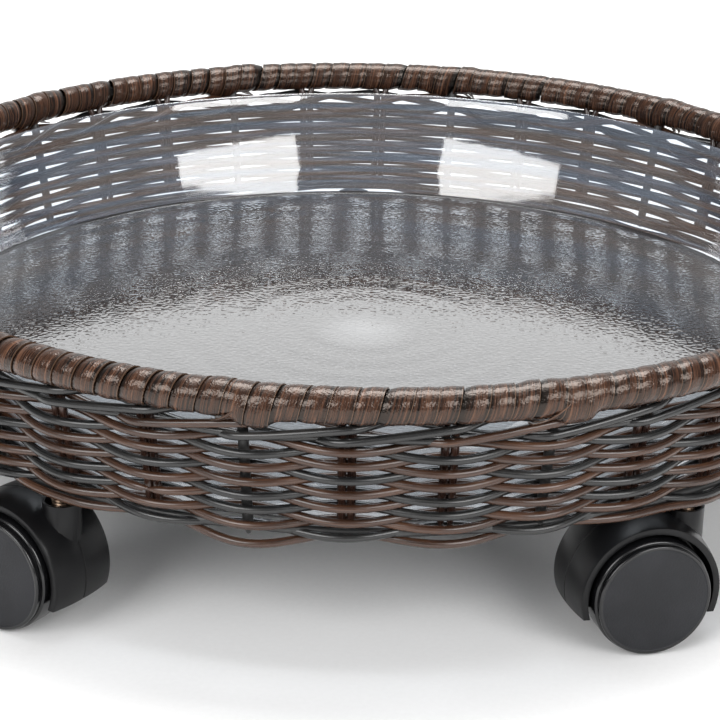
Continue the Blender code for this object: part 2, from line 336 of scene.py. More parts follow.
def strip_material():
    """Flat ribbed strip: brown, rust and dark streaks along it, glossy with a broken grain, with painted
    shade in the creases between turns.
    """
    look = Shading("wound_strip")
    ribs = look.noise(look.attribute("grain", (14, 1250, 0)), detail=3, rough=0.7)
    patches = look.noise(look.attribute("grain", (45, 520, 0)), detail=3, rough=0.6)
    worn = look.noise(look.place((1300, 1300, 1300)), detail=1, rough=0.5)
    blend = look.maths("ADD", look.maths("MULTIPLY", ribs, 0.65), look.maths("MULTIPLY", patches, 0.35))
    colour = look.ramp(
        blend,
        [
            (0.40, (0.003, 0.002, 0.002)),
            (0.46, (0.008, 0.004, 0.003)),
            (0.495, (0.070, 0.029, 0.015)),
            (0.53, (0.005, 0.003, 0.003)),
            (0.60, (0.105, 0.048, 0.027)),
        ],
    )
    # painted shade: darker where a turn goes under the last one and beside its own free edge, for the shadow
    # in the creases; the cut edge itself is a lighter tan
    across = look.node("ShaderNodeSeparateXYZ", {0: look.attribute("grain", (0, 0, 0.8))}, "Z")
    shade = look.ramp(
        across,
        [(0.0, grey(0.0)), (0.12, grey(0.05)), (0.23, grey(1.0)), (0.68, grey(1.0)), (0.82, grey(0.30))],
    )
    colour = look.scaled(colour, shade)
    edge = look.ramp(across, [(0.838, grey(0.0)), (0.858, grey(1.0))])
    colour = look.mix(edge, colour, (0.078, 0.043, 0.026, 1))
    rough = look.remap(worn, 0.12, 0.28)
    coarse = look.bump(worn, 0.5, 0.00030)
    normal = look.bump(ribs, 0.5, 0.00006, coarse)
    look.set(Specular_IOR_Level=0.5, Specular_Tint=(1.0, 0.86, 0.77, 1))
    return look.use(Base_Color=colour, Roughness=rough, Normal=normal)


def painted_steel():
    """Satin black paint on steel, thin and lighter in small worn patches."""
    look = Shading("painted_steel")
    patches = look.noise(look.place((60, 60, 60)), detail=5, rough=0.6)
    grain = look.noise(look.place((1600, 1600, 1600)), detail=2)
    colour = look.ramp(patches, [(0.35, grey(0.012)), (0.6, grey(0.030)), (0.8, grey(0.060))])
    rough = look.remap(patches, 0.32, 0.55)
    look.set(Specular_IOR_Level=0.5)
    return look.use(Base_Color=colour, Roughness=rough, Normal=look.bump(grain, 0.25, 0.0002))


def plated_steel():
    """Yellowish zinc plate on the stems and axles."""
    look = Shading("plated_steel")
    patches = look.noise(look.place((220, 220, 220)), detail=4, rough=0.6)
    colour = look.ramp(
        patches, [(0.3, (0.07, 0.05, 0.035)), (0.55, (0.20, 0.14, 0.10)), (0.75, (0.36, 0.29, 0.23))]
    )
    rough = look.remap(patches, 0.25, 0.50)
    look.set(Metallic=1.0)
    return look.use(Base_Color=colour, Roughness=rough, Normal=look.bump(patches, 0.3, 0.0003))


def hood_plastic():
    """Smooth moulded black plastic with a faint spark-eroded grain."""
    look = Shading("hood_plastic")
    grain = look.noise(look.place((1400, 1400, 1400)), detail=2)
    flow = look.noise(look.place((45, 45, 90)), detail=3)
    colour = look.ramp(flow, [(0.35, (0.0025, 0.0025, 0.003)), (0.65, (0.0045, 0.0045, 0.005))])
    rough = look.remap(flow, 0.30, 0.38)
    look.set(Specular_IOR_Level=0.26)
    return look.use(Base_Color=colour, Roughness=rough, Normal=look.bump(grain, 0.22, 0.00008))


def tread_plastic():
    """Glossy black plastic of the treads, with faint rings from moulding."""
    look = Shading("tread_plastic")
    flow = look.noise(look.place((60, 60, 60)), detail=3)
    colour = look.ramp(flow, [(0.35, (0.004, 0.004, 0.0045)), (0.65, (0.007, 0.007, 0.008))])
    rough = look.remap(flow, 0.16, 0.24)
    look.set(Specular_IOR_Level=0.55)
    return look.use(Base_Color=colour, Roughness=rough, Normal=look.bump(flow, 0.1, 0.0003))


def wheel_plastic():
    """Charcoal plastic with a pebbled skin."""
    look = Shading("wheel_plastic")
    pebbles = look.node(
        "ShaderNodeTexVoronoi", {"Vector": look.place((1500, 1500, 1500)), "Scale": 1}, "Distance"
    )
    flow = look.noise(look.place((70, 70, 70)), detail=4)
    colour = look.ramp(flow, [(0.35, (0.011, 0.0115, 0.0135)), (0.65, (0.017, 0.0175, 0.0205))])
    rough = look.remap(flow, 0.46, 0.58)
    look.set(Specular_IOR_Level=0.3)
    return look.use(Base_Color=colour, Roughness=rough, Normal=look.bump(pebbles, 0.30, 0.0003))


# the pale patch at the middle of the floor: its colour, and the distance that sets its size
PALE_MIDDLE_COLOUR = (0.30, 0.31, 0.32, 1)
PALE_MIDDLE_RADIUS = 0.05
RING_WAVES = 420.0  # radians for each metre outwards
DULL, PAINTED_GLINT = 0.7, 6.0  # the darkest specks, and the brightest painted glints, against the haze round them
PLASTIC_IOR = 1.5
PEBBLE_LOSS = 0.12  # of the light, that a pebbled skin reflects less
SKIN_LIMIT = 0.9  # of the light, that a skin reflects at most


def smooth_skin(look):
    """A normal with slow moulding waves, and the waves."""
    waves = look.noise(look.place((35, 35, 60)), detail=2)
    return look.bump(waves, 0.08, 0.0010), waves


def distance_out(look):
    """How far a point is from the caddy's axis, in metres."""
    return look.node("ShaderNodeVectorMath", {0: look.place((1, 1, 0))}, "Value", operation="LENGTH")


def pebbled_skin(look):
    """A normal with fine pebbles over faint broken rings, and a speckle."""
    pebbles = look.noise(look.place((680, 680, 680)), detail=0)
    rings = look.maths("SINE", look.maths("MULTIPLY", distance_out(look), RING_WAVES), 0.0)
    swells = look.noise(look.place((28, 28, 28)), detail=1)
    normal = look.bump(look.maths("MULTIPLY", rings, swells), 0.10, 0.0004)
    normal = look.bump(pebbles, 0.14, 0.0005, normal)
    return normal, look.noise(look.place((1300, 1300, 1300)), detail=1, rough=0.5)


def with_pale_middle(look, milky, speckle):
    """Lighter round the middle of the floor, in a speckled patch."""
    share = look.maths("MULTIPLY", distance_out(look), 1 / PALE_MIDDLE_RADIUS)
    pale_middle = look.ramp(share, [(0.0, grey(0.55)), (0.16, grey(0.4)), (0.42, grey(0.0))])
    return look.mix(look.maths("MULTIPLY", pale_middle, look.remap(speckle, 0.3, 1.7)), milky, PALE_MIDDLE_COLOUR)


def with_bands(look, milky, colour):
    """Level bands of another tint."""
    bands = look.noise(look.place((5, 5, 330)), detail=2, rough=0.6)
    return look.mix(look.ramp(bands, [(0.42, grey(0.0)), (0.56, grey(1.0))]), milky, (*colour, 1))


def clear_plastic(name, haze, haze_colour, tint, shine, roughness, pebbled=False, bands=None):
    """Thin clear plastic: it shows what is behind it, a little milky, under a mirror-like skin.

    haze is the milky share, tint is what the rest lets through, and shine multiplies the skin's
    reflection.
    """
    look = Shading(name)
    normal, speckle = pebbled_skin(look) if pebbled else smooth_skin(look)
    dull = tuple(DULL * c for c in haze_colour)
    # painted glints: on a pebbled skin the haze colour is lifted in scattered specks, standing in for
    # sparkles of light
    painted_glints = tuple(PAINTED_GLINT * c for c in haze_colour) if pebbled else haze_colour
    milky = look.ramp(speckle, [(0.3, dull), (0.57, haze_colour), (0.68, painted_glints)])
    if pebbled:
        milky = with_pale_middle(look, milky, speckle)
    if bands:
        milky = with_bands(look, milky, bands)
    look.set(Specular_IOR_Level=0.0, Roughness=0.5)
    look.use(Base_Color=milky)
    through = look.node("ShaderNodeBsdfTransparent", {"Color": (*tint, 1)})
    body = look.node("ShaderNodeMixShader", {0: haze, 1: through, 2: look.shader.outputs[0]})
    skin = look.node(
        "ShaderNodeBsdfGlossy", {"Color": (1, 1, 1, 1), "Roughness": roughness, "Normal": normal}
    )
    share = look.node("ShaderNodeFresnel", {"IOR": PLASTIC_IOR, "Normal": normal})
    share = look.maths("MULTIPLY", share, shine)
    if pebbled:
        share = look.maths("MAXIMUM", look.maths("SUBTRACT", share, PEBBLE_LOSS), 0.0)
    share = look.maths("MINIMUM", share, SKIN_LIMIT)
    outside = look.maths("SUBTRACT", 1.0, look.node("ShaderNodeNewGeometry", {}, "Backfacing"))
    share = look.maths("MULTIPLY", share, outside)
    both = look.node("ShaderNodeMixShader", {0: share, 1: body, 2: skin})
    look.tree.links.new(both, look.output.inputs["Surface"])
    return look.material


def floor_material():
    """Matt white card."""
    look = Shading("white_card")
    fibres = look.noise(look.place((500, 500, 500)), detail=2)
    colour = look.ramp(fibres, [(0.3, grey(0.86)), (0.7, grey(0.88))])
    look.set(Specular_IOR_Level=0.0)
    return look.use(Base_Color=colour, Roughness=look.remap(fibres, 0.85, 0.95))


BROWN_CANE = cane_material(
    "brown_cane", shade=(0.013, 0.006, 0.003), base=(0.040, 0.017, 0.009), light=(0.100, 0.048, 0.027)
)
GREY_CANE = cane_material(
    "grey_cane", shade=(0.004, 0.004, 0.005), base=(0.010, 0.010, 0.010), light=(0.026, 0.025, 0.024)
)
# painted shade: a darker copy of the brown cane, for the upright pairs that stand in the shade of the weave
PAINTED_SHADE_CANE = cane_material(
    "brown_cane_painted_shade", shade=(0.010, 0.005, 0.004), base=(0.030, 0.014, 0.010), light=(0.060, 0.030, 0.021)
)
STRIP = strip_material()
PAINTED_STEEL = painted_steel()
PLATED_STEEL = plated_steel()
HOOD = hood_plastic()
WHEEL = wheel_plastic()
TREAD = tread_plastic()
SAUCER_WALL = clear_plastic(
    "clear_wall", haze=0.09, haze_colour=(0.50, 0.58, 0.72), tint=(0.90, 0.93, 0.96),
    shine=2.4, roughness=0.05, bands=(0.50, 0.40, 0.35),
)
SAUCER_FLOOR = clear_plastic(
    "clear_floor", haze=0.90, haze_colour=(0.026, 0.027, 0.029), tint=(0.80, 0.83, 0.86),
    shine=3.8, roughness=0.05, pebbled=True,
)
SAUCER_CORNER = clear_plastic(
    "clear_corner", haze=0.75, haze_colour=(0.035, 0.033, 0.034), tint=(0.80, 0.83, 0.86),
    shine=0.5, roughness=0.1,
)

# ------------ pieces


def finish(name, mesh, material, body, replaced=(), angle=40):
    """Puts a finished mesh in the scene as a piece that rides on a body."""
    smooth(mesh, angle)
    mesh.materials.append(material)
    piece = add_object(name, mesh)
    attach(piece, body)
    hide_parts(*replaced)
    return piece


# ------------ woven wall

CANE_RADIUS = 0.0015
CANE_SIDES = 12
STEPS_PER_UPRIGHT = 14
ROW_PITCH = 0.00272
FIRST_ROW = 0.0007  # above the bottom of the weave
ROW_COLOURS = "bgbbgbgbbgbbgb"  # brown or grey, from the bottom row up
BULGE = 0.0033  # the canes' swing either side of the uprights
BULGE_AT_RODS = 0.00025
ROW_DIP = 0.0007  # how much lower a cane lies where it passes in front
ROD_SAG = 0.0008  # how much lower the bottom row hangs at the rods
LOOSE_SAG = 0.0022  # and at the first rod, where it has worked loose
ARM_SAG = 0.0027  # and where it hangs in front of the second caster's stem
SAG_SHARES = (1, 0.70, 0.35, 0.15)  # of the bottom row's sag, by row
SAG_WIDTH = 0.8  # of the gap between uprights
ARM_CLEAR_ANGLE = math.radians(8)
ARM_RISE = (0.0016, 0.0011, 0.0006, 0.0003)  # how much the bottom rows climb where they pass an arm
ARM_RISE_WIDTH = 0.95  # of the gap between uprights
ARM_DIP_PLACE = -1.9  # uprights from the first arm, where the bottom rows lie low
ARM_RISE_SHARES = (1.1, 1.5, 1.4, 1.4, 1.5)  # by caster
ARM_RISE_SHIFTS = (0, -0.75, 0, 0, 0)  # by caster, in uprights
ARM_CLEARANCE = 0.0003
SHARED_WAVES = 9  # of the drift that all rows follow
SHARED_DRIFT = 0.00010
ROW_DRIFT = 0.00006
BULGE_DRIFT = 0.05  # of the bulge
PAIR_OFFSET = 0.00158
PAIR_RADIUS = 0.0015
STRANDS = 3
WALE_BULGE = 0.0033
WALE_FOOT = 0.0004  # how far the strands keep from the bottom and the top of their band
WALE_HEAD = 0.0010
FILLER_BULGE = 0.0012
FILLER_RISE = 0.15  # of a row, above where the next row would lie
PAIR_FOOT = 0.0012  # above the base ring
PAIR_SPLAY = 0.0016
PAIR_SPLAY_START = 0.0030  # below the top of the strands
PAIR_LEAN = 0.0006
PAIR_DRIFT = 0.00008
PAIR_POINTS = 26
RIM_ENTRY = 0.55  # of the rim's radius below its middle, where the uprights end
ROD_END_GAP = 0.0004
WIRE_SIDES = 16
WIRE_POINTS = 24

ARM_ANGLES = [angle_of(Vector(JOINTS[f"{caster}_swivel"]["pos_m"])) for caster in CASTERS]
ARM_END = max(math.hypot(v.co.x, v.co.y) for v in frame["nodes"]["base_arm_1"].data.vertices)


def apart(angles, middle):
    """How far angles are from another, the short way round."""
    return (angles - middle + math.pi) % (2 * math.pi) - math.pi


def hump(angles, middle, width):
    """1 at one angle round the caddy, falling smoothly to 0 either side."""
    return np.exp(-((apart(angles, middle) / width) ** 2))


def bottom_sag(angles):
    """How much lower the bottom row hangs at the rods clear of the base arms, and at one stem."""
    total = LOOSE_SAG * hump(angles, FIRST_ROD, SAG_WIDTH * STEP)
    total += ARM_SAG * hump(angles, ARM_ANGLES[1], SAG_WIDTH * STEP)
    for i in range(1, len(ROD_NODES)):
        rod = FIRST_ROD + 3 * STEP * i
        if all(abs(apart(rod, arm)) > ARM_CLEAR_ANGLE for arm in ARM_ANGLES):
            total += ROD_SAG * hump(angles, rod, SAG_WIDTH * STEP)
    return total


def make_rows():
    """The rows of plain weave. Each passes in front of every other upright."""
    shared = [(RANDOM.normal(), RANDOM.uniform(0, 2 * math.pi)) for _ in range(SHARED_WAVES)]
    rise_width = ARM_RISE_WIDTH * STEP
    past_arm = ARM_END + CANE_RADIUS + ARM_CLEARANCE
    for row, colour in enumerate(ROW_COLOURS):
        # the ends of a row meet behind an upright
        start = FIRST_ROD + STEP * (7 * row + (row + 1) % 2)
        angles = start + np.linspace(0, 2 * math.pi, UPRIGHTS * STEPS_PER_UPRIGHT + 1)
        drift = sum(size * np.cos(wave * angles + turn) for wave, (size, turn) in enumerate(shared, 1))
        swing = np.cos(UPRIGHTS / 2 * (angles - FIRST_ROD)) * (-1) ** row
        height = WEAVE_LOW.z + FIRST_ROW + ROW_PITCH * row
        heights = height + SHARED_DRIFT * drift + wander(angles, ROW_DRIFT) - ROW_DIP * swing
        bulge = BULGE + BULGE_AT_RODS * np.cos(UPRIGHTS / 3 * (angles - FIRST_ROD))
        radii = wall_radius(height) + bulge * swing * (1 + wander(angles, BULGE_DRIFT, 11))
        if row < len(ARM_RISE):
            for arm, share, shift in zip(ARM_ANGLES, ARM_RISE_SHARES, ARM_RISE_SHIFTS):
                heights += ARM_RISE[row] * share * hump(angles, arm + shift * STEP, rise_width)
            dip = ARM_ANGLES[0] + ARM_DIP_PLACE * STEP
            heights -= ARM_RISE[row] * hump(angles, dip, rise_width)
        if row < len(SAG_SHARES):
            heights -= SAG_SHARES[row] * bottom_sag(angles)
        if row == 0:
            # it passes outside the ends of the arms
            for arm in ARM_ANGLES:
                share = hump(angles, arm, 0.5 * STEP) ** 0.5
                radii = np.maximum(radii, share * past_arm + (1 - share) * radii)
        path = ring_points(angles, radii, heights)
        material = BROWN_CANE if colour == "b" else GREY_CANE
        mesh = sweep(f"weave_row_{row + 1:02}", path, CANE_RADIUS, CANE_SIDES, (0, 0, 1), row)
        finish(mesh.name, mesh, material, "frame", ["wicker_weave"])


def make_filler():
    """A shallow row between the plain weave and the strands above it."""
    angles = FIRST_ROD + np.linspace(0, 2 * math.pi, UPRIGHTS * STEPS_PER_UPRIGHT + 1)
    height = WEAVE_LOW.z + FIRST_ROW + ROW_PITCH * (len(ROW_COLOURS) + FILLER_RISE)
    swing = np.cos(UPRIGHTS / 2 * (angles - FIRST_ROD))
    radii = wall_radius(height) + FILLER_BULGE * swing
    path = ring_points(angles, radii, height + wander(angles, 0.00015, 9))
    mesh = sweep("weave_filler_row", path, CANE_RADIUS, CANE_SIDES, (0, 0, 1), 15)
    finish(mesh.name, mesh, GREY_CANE, "frame", ["wicker_weave"])


def make_wale():
    """Three strands under the rim. Each climbs in front of two uprights, then drops behind one."""
    low = WALE_LOW.z + WALE_FOOT
    high = WALE_HIGH.z - WALE_HEAD
    for strand in range(STRANDS):
        start = FIRST_ROD + STEP * strand
        angles = start + np.linspace(0, 2 * math.pi, UPRIGHTS * STEPS_PER_UPRIGHT + 1)
        phase = ((angles - start) / STEP) % STRANDS  # 0 behind an upright, then in front of two
        out = 2 * np.cos(2 * math.pi * (phase - 1.5) / STRANDS)
        offsets = WALE_BULGE * np.sin(math.pi / 2 * np.clip(out, -1, 1))
        climb = (phase - 0.5) / 2
        drop = (phase - 2.5) % STRANDS
        share = np.where((phase >= 0.5) & (phase <= 2.5), climb, 1 - drop)
        share = np.clip(share, 0, 1)
        share = share * share * (3 - 2 * share)
        heights = low + (high - low) * share + wander(angles, 0.00018, 11)
        radii = wall_radius(heights) + offsets
        path = ring_points(angles, radii, heights)
        material = BROWN_CANE if strand == 1 else GREY_CANE
        mesh = sweep(f"wale_strand_{strand + 1}", path, CANE_RADIUS, CANE_SIDES, (0, 0, 1), 20 + strand)
        finish(mesh.name, mesh, material, "frame", ["top_wale"])


def make_pairs():
    """Two canes side by side between the rods, parting into a V where they enter the rim."""
    bottom = BASE_HIGH.z + PAIR_FOOT
    top = RIM_HEIGHT - RIM_ENTRY * WRAP_RADIUS
    heights = np.linspace(bottom, top, PAIR_POINTS)
    splay_start = WALE_HIGH.z - PAIR_SPLAY_START
    for i in range(UPRIGHTS):
        if i % 3 == 0:
            continue
        angle = FIRST_ROD + STEP * i
        lean = RANDOM.normal() * PAIR_LEAN
        meshes = []
        for side in (-1, 1):
            share = np.clip((heights - splay_start) / (top - splay_start), 0, 1)
            slide = side * (PAIR_OFFSET + PAIR_SPLAY * share**1.5)
            slide = slide + lean * (heights - bottom) / (top - bottom)
            radii = wall_radius(heights) + RANDOM.normal() * PAIR_DRIFT
            path = ring_points(angle + slide / radii, radii, heights)
            outward = (math.sin(angle), -math.cos(angle), 0)
            meshes.append(sweep("cane", path, PAIR_RADIUS, CANE_SIDES, outward, 30 + 2 * i + side))
        joined = bmesh.new()
        for mesh in meshes:
            joined.from_mesh(mesh)
            bpy.data.meshes.remove(mesh)
        pair = bpy.data.meshes.new(f"upright_pair_{i:02}")
        joined.to_mesh(pair)
        joined.free()
        # the pairs wear the brown cane darkened by painted shade
        finish(pair.name, pair, PAINTED_SHADE_CANE, "frame", ["wicker_weave", "top_wale"])


def make_wires():
    """The frame's rods and base ring, rounder than the frame's own.

    A rod that stands clear of the arms reaches down to the bottom row.
    """
    for i, node in enumerate(ROD_NODES):
        low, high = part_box(node)
        angle = FIRST_ROD + 3 * STEP * i
        clear = all(abs(apart(angle, arm)) > ARM_CLEAR_ANGLE for arm in ARM_ANGLES)
        foot = low.z + ROD_END_GAP
        if clear:
            foot = WEAVE_LOW.z + FIRST_ROW - bottom_sag(angle) + CANE_RADIUS
        heights = np.linspace(foot, high.z - ROD_END_GAP, WIRE_POINTS)
        path = ring_points(np.full(WIRE_POINTS, angle), wall_radius(heights), heights)
        outward = (math.sin(angle), -math.cos(angle), 0)
        mesh = sweep(f"steel_rod_{i + 1:02}", path, ROD_RADIUS, WIRE_SIDES, outward)
        finish(mesh.name, mesh, PAINTED_STEEL, "frame", [node])
    ring = lathe(
        "base_wire",
        arc((BASE_RING_RADIUS, BASE_RING_HEIGHT), BASE_WIRE_RADIUS, 0, 345, 23),
        180,
    )
    finish("base_wire", ring, PAINTED_STEEL, "frame", ["base_ring"])


# ------------ wound rim

TURNS = 148
STEPS_PER_TURN = 30
STRIP_SHARES = (0, 0.10, 0.28, 0.46, 0.64, 0.80, 0.92, 1.02, 1.07, 1.09)  # of the pitch, across
STRIP_THICKNESS = 0.00050
STRIP_CLIMB = 1.05  # of its thickness, from one edge to the other
STRIP_CROWN = 0.00062
STRIP_CURL = 0.00025  # how far its free edge lifts
KNOT_SWELL = 0.00060
STRIP_CURL_START = 0.8  # of the pitch, across
STRIP_WIDTH_DRIFT = 0.04  # of the width
STRIP_SLIP = 0.10  # of the pitch, along the rim
KNOT_SWELL_PLACE, KNOT_SWELL_WIDTH = -0.7, 0.6  # of the pitch, from the rod
KNOT_DROP = 0.0026  # how far the turn over a rod hangs below the others
KNOT_DROP_PLACE, KNOT_DROP_WIDTH = 0.6, 0.75
KNOT_DROP_TURN = 0.35  # radians, from straight down towards the outside
STRIP_START = math.radians(-100)  # round the rim's section, where each turn begins: underneath
TAIL_WIDTH = 0.0021
TAIL_THICKNESS = 0.00044
TAIL_STEPS = 15
TAILS = [
    # start in pitches from the rod, start and sweep round the section in degrees, height off the wrap
    (0.15, -6, 78, 0.0004),
    (0.27, -28, 70, 0.0),
]
TAIL_SLANT = 1.3  # pitches along the rim, from end to end
TAIL_HANG = 0.0016  # further off the wrap at its end
TAIL_SKEW = 0.35  # of the strip's width, along the rim


def make_rim():
    """A flat strip wound round the rim, each turn lying over the edge of the next."""
    steps = TURNS * STEPS_PER_TURN
    pitch = 2 * math.pi / TURNS
    turn = np.linspace(0, TURNS, steps + 1)[:, None]
    share = np.array(STRIP_SHARES)[None, :]
    width = 1 + wander(turn[:, 0] * pitch, STRIP_WIDTH_DRIFT, 40)[:, None]
    slip = wander(turn[:, 0] * pitch, STRIP_SLIP, 60)[:, None]

    def shape(share, depth):
        """Points of the strip's outer skin, or of its inner skin one thickness deeper."""
        angles = FIRST_ROD + pitch * (turn + slip + share * width)
        section = 2 * math.pi * turn + STRIP_START + 0 * share
        swell = np.zeros_like(angles)
        drop = np.zeros_like(angles)
        for i in range(len(ROD_NODES)):
            rod = FIRST_ROD + 3 * STEP * i
            beside = apart(angles, rod + KNOT_SWELL_PLACE * pitch) / (KNOT_SWELL_WIDTH * pitch)
            swell += np.exp(-(beside**4))
            beside = apart(angles, rod + KNOT_DROP_PLACE * pitch) / (KNOT_DROP_WIDTH * pitch)
            drop += np.exp(-(beside**6))
        swell *= np.clip(np.sin(section), 0, 1)
        drop *= np.clip(-np.sin(section - KNOT_DROP_TURN), 0, 1) ** 2
        crown = STRIP_CROWN * np.sin(math.pi * np.clip(share, 0, 1))
        curl = STRIP_CURL * np.clip(share - STRIP_CURL_START, 0, 1) / 0.3
        # it climbs by its own thickness, so that its free edge lies over the next turn
        rise = STRIP_THICKNESS * STRIP_CLIMB * (share - 1) + crown + curl
        rise = rise + KNOT_SWELL * swell + KNOT_DROP * drop
        radius = WRAP_RADIUS + rise - depth
        ring = RIM_RADIUS + radius * np.cos(section)
        return ring_points(angles, ring, RIM_HEIGHT + radius * np.sin(section))

    outer = shape(share, 0)
    inner = shape(share[:, ::-1], STRIP_THICKNESS)
    points = np.concatenate([outer, inner], axis=1)
    girth = 2 * math.pi * WRAP_RADIUS
    grain = np.zeros(points.shape)
    grain[..., 0] = turn * girth
    grain[..., 1] = np.concatenate([share, share[:, ::-1]], axis=1) * pitch * RIM_RADIUS
    grain[..., 1] += 0.0137 * np.floor(turn)
    # the share across each turn, which places the painted crease shade and the tan cut edge
    grain[..., 2] = np.concatenate([share, share[:, ::-1]], axis=1)
    mesh = grid_mesh("rim_strip", points[:, ::-1], cap=True, attributes={"grain": grain[:, ::-1]})
    finish("rim_strip", mesh, STRIP, "frame", ["rim_wrap"], angle=50)
    make_tails(pitch)


def make_tails(pitch):
    """Two ends of strip beside each rod, tucked from the rim's face down under it."""
    share = np.linspace(0, 1, TAIL_STEPS + 1)
    # eight points round the strip, which is thinner at its edges
    across = np.array([-1, -0.6, 0.6, 1, 1, 0.6, -0.6, -1]) * TAIL_WIDTH / 2
    skin = np.array([0, 1, 1, 0, -1, -1, -1, -1]) * TAIL_THICKNESS / 2
    on_edge = np.abs(across) > 0.9 * TAIL_WIDTH / 2
    for i in range(len(ROD_NODES)):
        rod = FIRST_ROD + 3 * STEP * i
        for tail, (start, section_start, sweep, height) in enumerate(TAILS):
            middle = rod + pitch * (start - TAIL_SLANT * share)
            section = np.radians(section_start - sweep * share)
            lift = WRAP_RADIUS + height + TAIL_HANG * share
            turn = section[:, None] + across[None, :] / WRAP_RADIUS
            radius = lift[:, None] + skin[None, :]
            angles = middle[:, None] + TAIL_SKEW * across[None, :] / RIM_RADIUS
            ring = RIM_RADIUS + radius * np.cos(turn)
            points = ring_points(angles, ring, RIM_HEIGHT + radius * np.sin(turn))
            grain = np.zeros(points.shape)
            grain[..., 0] = 0.02 * share[:, None]
            grain[..., 1] = across[None, :] + 0.05 * i + 0.01 * tail
            grain[..., 2] = np.where(on_edge, 1.08, 0.5)[None, :]
            name = f"strip_tail_{i + 1:02}_{tail + 1}"
            mesh = grid_mesh(name, points, cap=True, attributes={"grain": grain})
            finish(name, mesh, STRIP, "frame", ["rim_wrap"], angle=50)


# ------------ saucer

SAUCER_LOW, SAUCER_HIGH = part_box("saucer")
SAUCER_THICKNESS = 0.001
SAUCER_SEGMENTS = 240
WALL_STEPS = 10
WALL_FLARE = 0.33
FLOOR_STEP = 0.02
FLOOR_RINGS = 8
CORNER_RADIUS = 0.0022
CORNER_PLACE = 0.1744  # from the axis to the middle of the corner's arc
CORNER_START, CORNER_END = -90, -14  # degrees
FOOT_PLACE, FOOT_HEIGHT = 0.1786, 0.0093  # where the wall proper starts
BRIM_DROP = 0.0011
LIP_RADIUS = 0.0006


def make_saucer():
    """The clear saucer: a pebbled floor, a round corner and a wall that leans out to a thin lip."""
    lip = SAUCER_HIGH.x
    top, bottom = SAUCER_HIGH.z, SAUCER_LOW.z
    half = SAUCER_THICKNESS / 2
    corner = (CORNER_PLACE, bottom + CORNER_RADIUS)
    foot, brim = (FOOT_PLACE, bottom + FOOT_HEIGHT), (lip - BRIM_DROP, top - BRIM_DROP)
    rise = np.linspace(0, 1, WALL_STEPS + 1)
    reach = rise + WALL_FLARE * rise * (1 - rise)  # it leans out more at its foot
    wall = [
        (foot[0] + (brim[0] - foot[0]) * r, foot[1] + (brim[1] - foot[1]) * h)
        for r, h in zip(reach, rise)
    ]
    rings = [FLOOR_STEP * i for i in range(FLOOR_RINGS + 1)]
    outer = [(r, bottom) for r in rings]
    outer += arc(corner, CORNER_RADIUS, CORNER_START, CORNER_END, 8) + wall
    outer += arc((lip - 0.0007, top - LIP_RADIUS), LIP_RADIUS, -30, 90, 5)
    inner = [(lip - 0.0013, top - 0.0002), (lip - 0.0020, top - 0.0013)]
    inner += [(r - SAUCER_THICKNESS, h) for r, h in wall[-2::-1]]
    inner += arc(corner, CORNER_RADIUS - SAUCER_THICKNESS, CORNER_END, CORNER_START, 8)
    inner += [(r, bottom + SAUCER_THICKNESS) for r in rings[::-1]]
    mesh = lathe("clear_saucer", outer + inner, SAUCER_SEGMENTS)
    finish("clear_saucer", mesh, SAUCER_WALL, "saucer", ["saucer"])
    mesh.materials.append(SAUCER_FLOOR)
    mesh.materials.append(SAUCER_CORNER)
    floor_top = bottom + SAUCER_THICKNESS + half
    for face in mesh.polygons:
        out = math.hypot(face.center.x, face.center.y)
        if out < corner[0]:
            face.material_index = int(face.center.z < floor_top)
        elif face.center.z < corner[1] + half:
            face.material_index = 2


# ------------ casters

WHEEL_SEGMENTS = 96
HOOD_SEGMENTS = 128
BOSS_SEGMENTS = 48


def caster_place(caster):
    """Position of the swivel axis at the floor, heading, trail and wheel radius, from the joints."""
    swivel = Vector(JOINTS[f"{caster}_swivel"]["pos_m"])
    roll = JOINTS[f"{caster}_roll_left"]
    axle = Vector(roll["pos_m"])
    heading = math.atan2(-roll["axis"][0], roll["axis"][1])
    trail = (Vector((swivel.x, swivel.y)) - Vector((axle.x, axle.y))).length
    return Vector((swivel.x, swivel.y, 0)), heading, trail, axle.z


_, _, TRAIL, AXLE_HEIGHT = caster_place(CASTERS[0])
WHEEL_LOW, WHEEL_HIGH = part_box(f"{CASTERS[0]}_wheel_left")
WHEEL_RADIUS = (WHEEL_HIGH.z - WHEEL_LOW.z) / 2
CAP_LOW, CAP_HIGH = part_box(f"{CASTERS[0]}_cap_left")
CAP_RADIUS = (CAP_HIGH.z - CAP_LOW.z) / 2
STEM_LOW, STEM_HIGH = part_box(f"{CASTERS[0]}_stem")
STEM_RADIUS = (STEM_HIGH.x - STEM_LOW.x) / 2
HOOD_LOW, HOOD_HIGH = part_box(f"{CASTERS[0]}_hood")

# faces and half widths are measured across the caster, from its middle
WHEEL_INNER_FACE = 0.0058
WHEEL_OUTER_FACE = 0.0157
CAP_FACE = 0.0184
HOOD_RADIUS = 0.0263
HOOD_LIP_RADIUS = 0.0250
HOOD_HALF_WIDTH = 0.0143
HOOD_WEB_HALF_WIDTH = 0.0052
HOOD_WELL_RADIUS = 0.0228
HOOD_WELL_FILLET = 0.0012
BOSS_RADIUS = 0.0068
BOSS_START = 0.030  # height
BOSS_CUP_WALL = 0.0010
BOSS_CUP_DEPTH = 0.0034
WHEEL_BORE_RADIUS = 0.0028
WHEEL_BACK_SHOULDER, WHEEL_SHOULDER = 0.0012, 0.0009
WHEEL_GROOVE = 0.0005
CAP_EDGE = 0.0007
CAP_EDGE_END = 0.0012  # in from the cap's outer edge
STEM_GAP = 0.0004
SEAM_HALF_WIDTH = 0.00034
SEAM_DEPTH = 0.00060
CROWN_POWER = 2.2
HOOD_EDGE_SLOPE = 0.045
EDGE_ROUNDING = 0.00045
TOOL_REACH = 0.06
THREAD_PITCH = 0.0011
